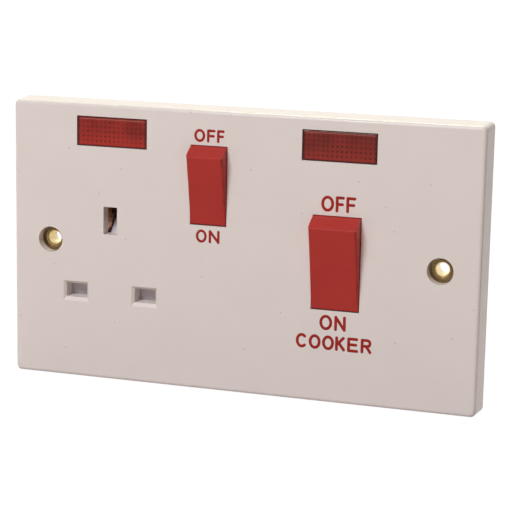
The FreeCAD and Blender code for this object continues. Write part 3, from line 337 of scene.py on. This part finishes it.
def specked(made, colour):
    """Sparse dark specks over a moulded plastic's colour, as thermoset mouldings have."""
    nodes, links = made.node_tree.nodes, made.node_tree.links
    shader = nodes["Principled BSDF"]
    tint = shader.inputs["Base Color"].links[0].from_socket
    split = nodes.new("ShaderNodeSeparateXYZ")
    links.new(local_point(nodes), split.inputs["Vector"])
    flat = nodes.new("ShaderNodeCombineXYZ")
    links.new(split.outputs["X"], flat.inputs["X"])
    links.new(split.outputs["Z"], flat.inputs["Y"])
    cells = nodes.new("ShaderNodeTexVoronoi")
    cells.voronoi_dimensions = "2D"
    cells.inputs["Scale"].default_value = 1 / SPECK_PITCH
    links.new(flat.outputs["Vector"], cells.inputs["Vector"])
    reach = SPECK_RADIUS / SPECK_PITCH
    distance = cells.outputs["Distance"]
    speck = span(nodes, links, distance, SPECK_STRENGTH, 0, reach * SPECK_CORE, reach)
    links.new(blend(nodes, links, speck, tint, colour), shader.inputs["Base Color"])
    return made


def faceted(name, colour, node):
    """A coloured window: a grid of dark dots from the facets behind it, edges darkened by painted
    shade, and a painted highlight below its upper lip.
    """
    made, nodes, links, shader = material(name)
    shader.inputs["Specular IOR Level"].default_value = LENS_SHINE
    shader.inputs["Transmission Weight"].default_value = LENS_CLEARNESS
    low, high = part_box(node)
    place = nodes.new("ShaderNodeSeparateXYZ")
    links.new(nodes.new("ShaderNodeTexCoord").outputs["Generated"], place.inputs["Vector"])
    waves, gaps = [], []
    for axis, shift, edge in zip((0, 2), FACET_SHIFTS, (LENS_RIM, LENS_LIP)):
        size = high[axis] - low[axis]
        off_centre = calc(nodes, links, "SUBTRACT", place.outputs[axis], 0.5)
        along = calc(nodes, links, "MULTIPLY", off_centre, size)
        turns = calc(nodes, links, "ADD", calc(nodes, links, "DIVIDE", along, FACET_PITCH), shift)
        wave = calc(nodes, links, "COSINE", calc(nodes, links, "MULTIPLY", turns, 2 * math.pi))
        waves.append(span(nodes, links, wave, 0, 1, DOT_START, 1))
        room = size / 2 - LENS_FLANGE
        gap = calc(nodes, links, "SUBTRACT", room, calc(nodes, links, "ABSOLUTE", along))
        gaps.append(span(nodes, links, gap, 1, 0, edge * BAND_CORE, edge))
    # The last axis is the height, so room and along are now measured upwards.
    head = calc(nodes, links, "SUBTRACT", room, along)

    cloud = span(nodes, links, noise(nodes, links, LENS_CLOUD), 0, 1, *LENS_CLOUD_SPAN)
    tint = blend(nodes, links, cloud, *(scaled(colour, shade) for shade in LENS_CLOUD_SHADES))
    foot = span(nodes, links, place.outputs["Z"], LENS_FOOT_STRENGTH, 0, *LENS_FOOT_SPAN)
    footed = blend(nodes, links, foot, tint, scaled(colour, LENS_FOOT_SHADE))

    uneven = span(nodes, links, noise(nodes, links, DOT_PATCH), *DOT_STRENGTHS)
    dots = calc(nodes, links, "MULTIPLY", calc(nodes, links, "MULTIPLY", *waves), uneven)
    dotted = blend(nodes, links, dots, footed, scaled(colour, DOT_SHADE))

    # Painted highlight: a pale pink line just below the upper lip, where the lip's round edge would
    # catch the key light.
    crest, fade = LENS_LIP + LENS_GLINT / 2, LENS_LIP + LENS_GLINT
    shown = span(nodes, links, head, 0, LENS_GLINT_STRENGTH, LENS_LIP, crest)
    faded = span(nodes, links, head, 1, 0, crest, fade)
    painted_glint = calc(nodes, links, "MULTIPLY", shown, faded)
    with_painted_glint = blend(nodes, links, painted_glint, dotted, LENS_PAINTED_GLINT_PINK)

    # Painted shade: the window's ends and lips are darkened, standing in for the shade of the gap
    # round it.
    painted_rim_shade = calc(nodes, links, "MULTIPLY", calc(nodes, links, "MAXIMUM", *gaps), LENS_RIM_STRENGTH)
    with_rim_shade = blend(nodes, links, painted_rim_shade, with_painted_glint, scaled(colour, LENS_RIM_PAINTED_SHADE))
    links.new(with_rim_shade, shader.inputs["Base Color"])
    haze = span(nodes, links, noise(nodes, links, HAZE_SIZE), *LENS_HAZE)
    links.new(haze, shader.inputs["Roughness"])
    return made


def metal(name, colour, roughness, tarnish=0.25):
    """A metal with drawn marks, an uneven polish and a little tarnish."""
    made, nodes, links, shader = material(name)
    shader.inputs["Metallic"].default_value = 1.0
    stain = span(nodes, links, noise(nodes, links, STAIN_SIZE), 0, tarnish, *STAIN_SPAN)
    tint = blend(nodes, links, stain, colour, scaled(colour, STAIN_SHADE))
    links.new(tint, shader.inputs["Base Color"])
    patches = noise(nodes, links, POLISH_SIZE)
    polish = span(nodes, links, patches, roughness - POLISH_LESS, roughness + POLISH_MORE)
    links.new(polish, shader.inputs["Roughness"])
    scratch = noise(nodes, links, SCRATCH_SIZE, SCRATCH_DETAIL)
    marks = bump(nodes, links, scratch, SCRATCH_DEPTH, SCRATCH_STRENGTH)
    links.new(marks, shader.inputs["Normal"])
    return made


def tarnished_and_shaded(made, colour):
    """A turned metal that keeps its colour on round crests and is darkened in the grooves between,
    partly tarnish and partly painted shade.
    """
    nodes, links = made.node_tree.nodes, made.node_tree.links
    shader = nodes["Principled BSDF"]
    bright = shader.inputs["Base Color"].links[0].from_socket
    place = nodes.new("ShaderNodeSeparateXYZ")
    links.new(local_point(nodes), place.inputs["Vector"])
    across = calc(nodes, links, "ABSOLUTE", place.outputs["X"])
    aside = calc(nodes, links, "SUBTRACT", across, EYELET_X)
    squares = [calc(nodes, links, "MULTIPLY", term, term) for term in (aside, place.outputs["Z"])]
    radius = calc(nodes, links, "SQRT", calc(nodes, links, "ADD", *squares))
    kept = []
    for crest, reach in EYELET_CRESTS:
        off = calc(nodes, links, "ABSOLUTE", calc(nodes, links, "SUBTRACT", radius, crest))
        kept.append(span(nodes, links, off, 1, 0, reach * BAND_CORE, reach))
    # Grooves take the tarnish and painted shade; the crests keep the bright brass.
    tint = blend(nodes, links, calc(nodes, links, "MAXIMUM", *kept), colour, bright)
    links.new(tint, shader.inputs["Base Color"])
    return made


def clear(name, colour, roughness, index):
    """A clear moulding or glass that tints what is seen through it."""
    made, nodes, links, shader = material(name)
    shader.inputs["Transmission Weight"].default_value = 1.0
    shader.inputs["IOR"].default_value = index
    patches = noise(nodes, links, HAZE_SIZE)
    haze = span(nodes, links, patches, roughness, roughness + GLASS_HAZE_SPREAD)
    links.new(haze, shader.inputs["Roughness"])
    cloud = span(nodes, links, noise(nodes, links, GLASS_CLOUD_SIZE), 0, 1)
    tint = blend(nodes, links, cloud, scaled(colour, GLASS_CLOUD_SHADE), colour)
    links.new(tint, shader.inputs["Base Color"])
    return made


def dress_nodes():
    """Give every CAD node the material of its slot, or its own."""
    plate = moulded("plate_plastic", PLATE_WHITE, roughness=0.16, mottle=0.012, shine=0.22)
    specked(plate, SPECK_GREY)
    looks = {
        "faceplate": plate,
        "base": moulded("base_plastic", BASE_IVORY, roughness=0.55, depth=0.03 * MM),
        "rocker_red": moulded("rocker_plastic", ROCKER_RED, roughness=0.2, mottle=0.04, shine=0.05),
        "lens_red": faceted("lens_acrylic", LENS_RED, "socket_neon_lens"),
        "lamp_glass": clear("lamp_glass", LAMP_GLASS, roughness=0.03, index=1.5),
        "shutter": moulded("shutter_plastic", SHUTTER_GREY, roughness=0.5),
        "plunger": moulded("plunger_plastic", PLUNGER_CREAM, roughness=0.45),
        "brass": metal("turned_brass", BRASS, roughness=0.2),
        "bronze": metal("stamped_bronze", BRONZE, roughness=0.3),
        "spring_steel": metal("spring_steel", STEEL, roughness=0.28, tarnish=0.1),
        "plated_steel": metal("zinc_plating", ZINC, roughness=0.34, tarnish=0.1),
    }
    turned = tarnished_and_shaded(metal("eyelet_brass", EYELET_BRASS, roughness=0.34), EYELET_TARNISH_AND_SHADE)
    # Painted shade: the cooker's window gets a darker copy of the lens material.
    painted_shade_lens = faceted("painted_shade_acrylic", PAINTED_SHADE_LENS_RED, "cooker_neon_lens")
    own_looks = {"left_eyelet": turned, "right_eyelet": turned, "cooker_neon_lens": painted_shade_lens}
    for part in frame["record"]["subparts"]:
        mesh = NODES[part["node"]].data
        mesh.materials.clear()
        mesh.materials.append(own_looks.get(part["node"], looks[part["material_slot"]]))


def arc(centre_x, centre_z, radius_x, radius_z, start, end):
    """Points along part of an ellipse, with angles in degrees from the right."""
    first, last = math.radians(start), math.radians(end)
    count = max(2, round(abs(last - first) / ARC_STEP))
    turns = [first + (last - first) * step / count for step in range(count + 1)]
    return [(centre_x + radius_x * math.cos(turn), centre_z + radius_z * math.sin(turn))
            for turn in turns]


# Engraver's letters as strokes in a box of unit width and height.
GLYPHS = {
    "C": (arc(0.54, 0.5, 0.54, 0.5, 48, 312),),
    "E": (((0, 0), (0, 1)), ((0, 1), (0.96, 1)), ((0, 0.52), (0.86, 0.52)), ((0, 0), (1, 0))),
    "F": (((0, 0), (0, 1)), ((0, 1), (1, 1)), ((0, 0.5), (0.88, 0.5))),
    "K": (((0, 0), (0, 1)), ((0.92, 1), (0, 0.4)), ((0.3, 0.58), (1, 0))),
    "N": (((0, 0), (0, 1)), ((0, 1), (1, 0)), ((1, 0), (1, 1))),
    "O": (arc(0.5, 0.5, 0.5, 0.5, 0, 360),),
    "R": (((0, 0), (0, 1)),
          [(0, 1)] + arc(0.62, 0.75, 0.34, 0.25, 90, -90) + [(0, 0.5)],
          ((0.5, 0.5), (1, 0))),
}


def capped(points, radius):
    """A stroke's points with round ends: each point and the share of the full width there."""
    points = [Vector(point) for point in points]
    if (points[0] - points[-1]).length < radius:
        return [(point, 1.0) for point in points[:-1]], True
    shares = [math.sqrt(1 - (1 - step / CAP_STEPS) ** 2) for step in range(CAP_STEPS)]
    ends = []
    for tip, inner in ((points[0], points[1]), (points[-1], points[-2])):
        outward = (tip - inner).normalized()
        ends.append([(tip + outward * radius * (1 - step / CAP_STEPS), share)
                     for step, share in enumerate(shares)])
    return ends[0] + [(point, 1.0) for point in points] + ends[1][::-1], False


def lettering(name, foot, top, stroke, letters, ink):
    """One word of filled lettering: low rounded strokes, half sunk in the front face."""
    face_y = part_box("faceplate")[0][1]
    radius = stroke / 2
    curve = bpy.data.curves.new(name, "CURVE")
    curve.dimensions = "3D"
    curve.bevel_depth = radius * MM
    curve.bevel_resolution = STROKE_ROUNDNESS
    for letter, left, right in letters:
        for stroke_points in GLYPHS[letter]:
            laid = [(left + radius + u * (right - left - stroke),
                     foot + radius + v * (top - foot - stroke)) for u, v in stroke_points]
            path, closed = capped(laid, radius)
            spline = curve.splines.new("POLY")
            spline.points.add(len(path) - 1)
            spline.use_cyclic_u = closed
            for point, (place, share) in zip(spline.points, path):
                point.co = (place.x * MM, 0, place.y * MM, 1)
                point.radius = share
    source = bpy.data.objects.new(f"{name}_strokes", curve)
    mesh = bpy.data.meshes.new_from_object(source)
    bpy.data.objects.remove(source)
    for vertex in mesh.vertices:
        vertex.co.y = face_y + vertex.co.y * INK_PROUD / radius
    for polygon in mesh.polygons:
        polygon.use_smooth = True
    word = bpy.data.objects.new(name, mesh)
    bpy.context.scene.collection.objects.link(word)
    mesh.materials.clear()
    mesh.materials.append(ink)
    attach(word, "unit")


def write_words():
    """The switch positions and the switch's purpose, in dark red."""
    ink = moulded("red_ink", INK_RED, roughness=0.5, grain=0.2 * MM, mottle=0.12, shine=0.1)
    for name, foot, top, stroke, letters in WORDS:
        lettering(name, foot, top, stroke, letters, ink)


def coil_path(radius, rise):
    """A spring's centre line: side, depth and height, with its end turns laid close."""
    path = []
    for step in range(SPRING_TURNS * SPRING_STEPS + 1):
        turn = step / SPRING_STEPS
        middle = min(max((turn - 1) / (SPRING_TURNS - 2), 0), 1)
        closed = min(turn, 1) + max(turn - SPRING_TURNS + 1, 0)
        height = SPRING_WIRE * closed + (rise - 2 * SPRING_WIRE) * middle
        angle = 2 * math.pi * turn
        path.append((radius * math.cos(angle), radius * math.sin(angle), height))
    return path


def wire_mesh(name, paths, thickness):
    """Round wires along paths, with closed ends."""
    curve = bpy.data.curves.new(name, "CURVE")
    curve.dimensions = "3D"
    curve.bevel_depth = thickness / 2
    curve.bevel_resolution = WIRE_ROUNDNESS
    curve.use_fill_caps = True
    for path in paths:
        spline = curve.splines.new("POLY")
        spline.points.add(len(path) - 1)
        for point, place in zip(spline.points, path):
            point.co = (*place, 1)
    source = bpy.data.objects.new(f"{name}_wire", curve)
    mesh = bpy.data.meshes.new_from_object(source)
    bpy.data.objects.remove(source)
    for polygon in mesh.polygons:
        polygon.use_smooth = True
    mesh.materials.clear()
    return mesh


def wind_spring(piece):
    """A coil of round wire in place of the plain one, fixed to the body that the piece it pushes
    slides in.
    """
    node = NODES[f"{piece}_spring"]
    joint = next(joint for joint in frame["joints"] if joint["name"] == f"{piece}_slide")
    axis = Vector(joint["axis"])
    across = Vector((1, 0, 0))
    ways = (across, axis.cross(across), axis)
    reaches = [[vertex.co.dot(way) for vertex in node.data.vertices] for way in ways]
    lows, highs = [min(reach) for reach in reaches], [max(reach) for reach in reaches]
    rise = highs[2] - lows[2] - SPRING_WIRE
    foot = sum((way * (low + high) / 2 for way, low, high in zip(ways[:2], lows, highs)), Vector())
    start = foot + axis * (lows[2] + SPRING_WIRE / 2)
    path = [start + ways[0] * side + ways[1] * depth + axis * height
            for side, depth, height in coil_path((highs[0] - lows[0] - SPRING_WIRE) / 2, rise)]
    mesh = wire_mesh(piece, [path], SPRING_WIRE)
    mesh.materials.append(node.data.materials[0])
    coil = bpy.data.objects.new(f"{piece}_coil", mesh)
    bpy.context.scene.collection.objects.link(coil)
    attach(coil, joint["parent"])
    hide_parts(f"{piece}_spring")
    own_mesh(coil)


def fit_electrodes(lamp, metal_look):
    """The two wires inside a neon lamp, from its foot to near its tip."""
    low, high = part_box(lamp)
    middle = (low + high) / 2
    aside = (high.z - low.z) * ELECTRODE_SPACING / 2
    tip = low.x + (high.x - low.x) * ELECTRODE_REACH
    paths = [[(low.x + ELECTRODE_WIRE, middle.y, z), (tip, middle.y, z)]
             for z in (middle.z - aside, middle.z + aside)]
    mesh = wire_mesh(lamp, paths, ELECTRODE_WIRE)
    mesh.materials.append(metal_look)
    wires = bpy.data.objects.new(f"{lamp}_electrodes", mesh)
    bpy.context.scene.collection.objects.link(wires)
    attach(wires, "unit")


def set_camera():
    """The photograph's camera."""
    yaw, pitch, roll = CAMERA_YAW, CAMERA_PITCH, CAMERA_ROLL
    back = Vector((math.sin(yaw) * math.cos(pitch),
                   -math.cos(yaw) * math.cos(pitch),
                   math.sin(pitch)))
    level = Vector((math.cos(yaw), math.sin(yaw), 0))
    upright = back.cross(level)
    right = level * math.cos(roll) + upright * math.sin(roll)
    up = upright * math.cos(roll) - level * math.sin(roll)
    lens = bpy.data.cameras.new("camera")
    lens.lens = CAMERA_LENS_MM
    lens.sensor_width = CAMERA_SENSOR_MM
    lens.sensor_fit = "HORIZONTAL"
    camera = bpy.data.objects.new("camera", lens)
    turn = Matrix((right, up, back)).transposed().to_4x4()
    camera.matrix_world = Matrix.Translation(CAMERA_TARGET + back * CAMERA_DISTANCE) @ turn
    bpy.context.scene.collection.objects.link(camera)
    bpy.context.scene.camera = camera


def backdrop_white(nodes, links, lit, seen):
    """A shader for what surrounds the object: lit as a surface, but white where it is seen."""
    path = nodes.new("ShaderNodeLightPath").outputs
    direct = calc(nodes, links, "MAXIMUM", path["Is Camera Ray"], path["Is Glossy Ray"])
    mixed = nodes.new("ShaderNodeMixShader")
    either = calc(nodes, links, "MAXIMUM", direct, path["Is Transmission Ray"])
    links.new(either, mixed.inputs["Fac"])
    links.new(lit, mixed.inputs[1])
    links.new(seen, mixed.inputs[2])
    return mixed.outputs["Shader"]


def pale_paper():
    """The floor's paper: matt, and white to the camera apart from a faint shadow."""
    made, nodes, links, shader = material("pale_paper")
    shader.inputs["Base Color"].default_value = (*FLOOR_PAPER, 1)
    shader.inputs["Roughness"].default_value = FLOOR_ROUGHNESS
    faint = nodes.new("ShaderNodeBsdfDiffuse")
    faint.inputs["Color"].default_value = (*scaled(FLOOR_PAPER, FLOOR_SHADOW), 1)
    glow = nodes.new("ShaderNodeEmission")
    glow.inputs["Strength"].default_value = FLOOR_GLOW
    veil = nodes.new("ShaderNodeAddShader")
    links.new(faint.outputs["BSDF"], veil.inputs[0])
    links.new(glow.outputs["Emission"], veil.inputs[1])
    seen = backdrop_white(nodes, links, shader.outputs["BSDF"], veil.outputs["Shader"])
    links.new(seen, nodes["Material Output"].inputs["Surface"])
    return made


def set_floor():
    """A pale floor that curves up into a backdrop."""
    floor_z = cad_box[0][2]
    profile = [(-SWEEP_REACH, 0.0), (SWEEP_BACK, 0.0)]
    for step in range(1, SWEEP_STEPS + 1):
        turn = math.radians(90 * step / SWEEP_STEPS)
        profile.append((SWEEP_BACK + SWEEP_BEND * math.sin(turn), SWEEP_BEND * (1 - math.cos(turn))))
    profile.append((SWEEP_BACK + SWEEP_BEND, SWEEP_REACH))
    verts, faces = [], []
    for y, z in profile:
        verts += [(-SWEEP_SIDE, y, floor_z + z), (SWEEP_SIDE, y, floor_z + z)]
    for step in range(len(profile) - 1):
        first = 2 * step
        faces.append((first, first + 1, first + 3, first + 2))
    mesh = bpy.data.meshes.new("sweep")
    mesh.from_pydata(verts, [], faces)
    for polygon in mesh.polygons:
        polygon.use_smooth = True
    mesh.materials.append(pale_paper())
    sweep = bpy.data.objects.new("sweep", mesh)
    bpy.context.scene.collection.objects.link(sweep)


def set_world():
    """A weak light all round that looks white."""
    world = bpy.data.worlds.new("studio")
    bpy.context.scene.world = world
    world.use_nodes = True
    nodes, links = world.node_tree.nodes, world.node_tree.links
    lit = nodes["Background"]
    lit.inputs["Color"].default_value = (*WORLD_TINT, 1)
    lit.inputs["Strength"].default_value = WORLD_STRENGTH
    shown = nodes.new("ShaderNodeBackground")
    shown.inputs["Color"].default_value = (1, 1, 1, 1)
    seen = backdrop_white(nodes, links, lit.outputs["Background"], shown.outputs["Background"])
    links.new(seen, nodes["World Output"].inputs["Surface"])


def softbox(name, place, size, power, colour):
    """A square soft light that faces the object."""
    light = bpy.data.lights.new(name, "AREA")
    light.size = size
    light.energy = power
    light.color = colour
    lamp = bpy.data.objects.new(name, light)
    lamp.location = place
    lamp.rotation_euler = Vector(place).to_track_quat("Z", "Y").to_euler()
    bpy.context.scene.collection.objects.link(lamp)


def set_lights():
    """A soft key high in front, a weak fill from the right and a light behind for the top face."""
    for light in LIGHTS:
        softbox(*light)


dress_nodes()
write_words()
for sprung in SPRUNG:
    wind_spring(sprung)
for bulb in LAMPS:
    fit_electrodes(bulb, bpy.data.materials["spring_steel"])
set_camera()
set_floor()
set_world()
set_lights()
bpy.context.scene.view_settings.view_transform = "Standard"
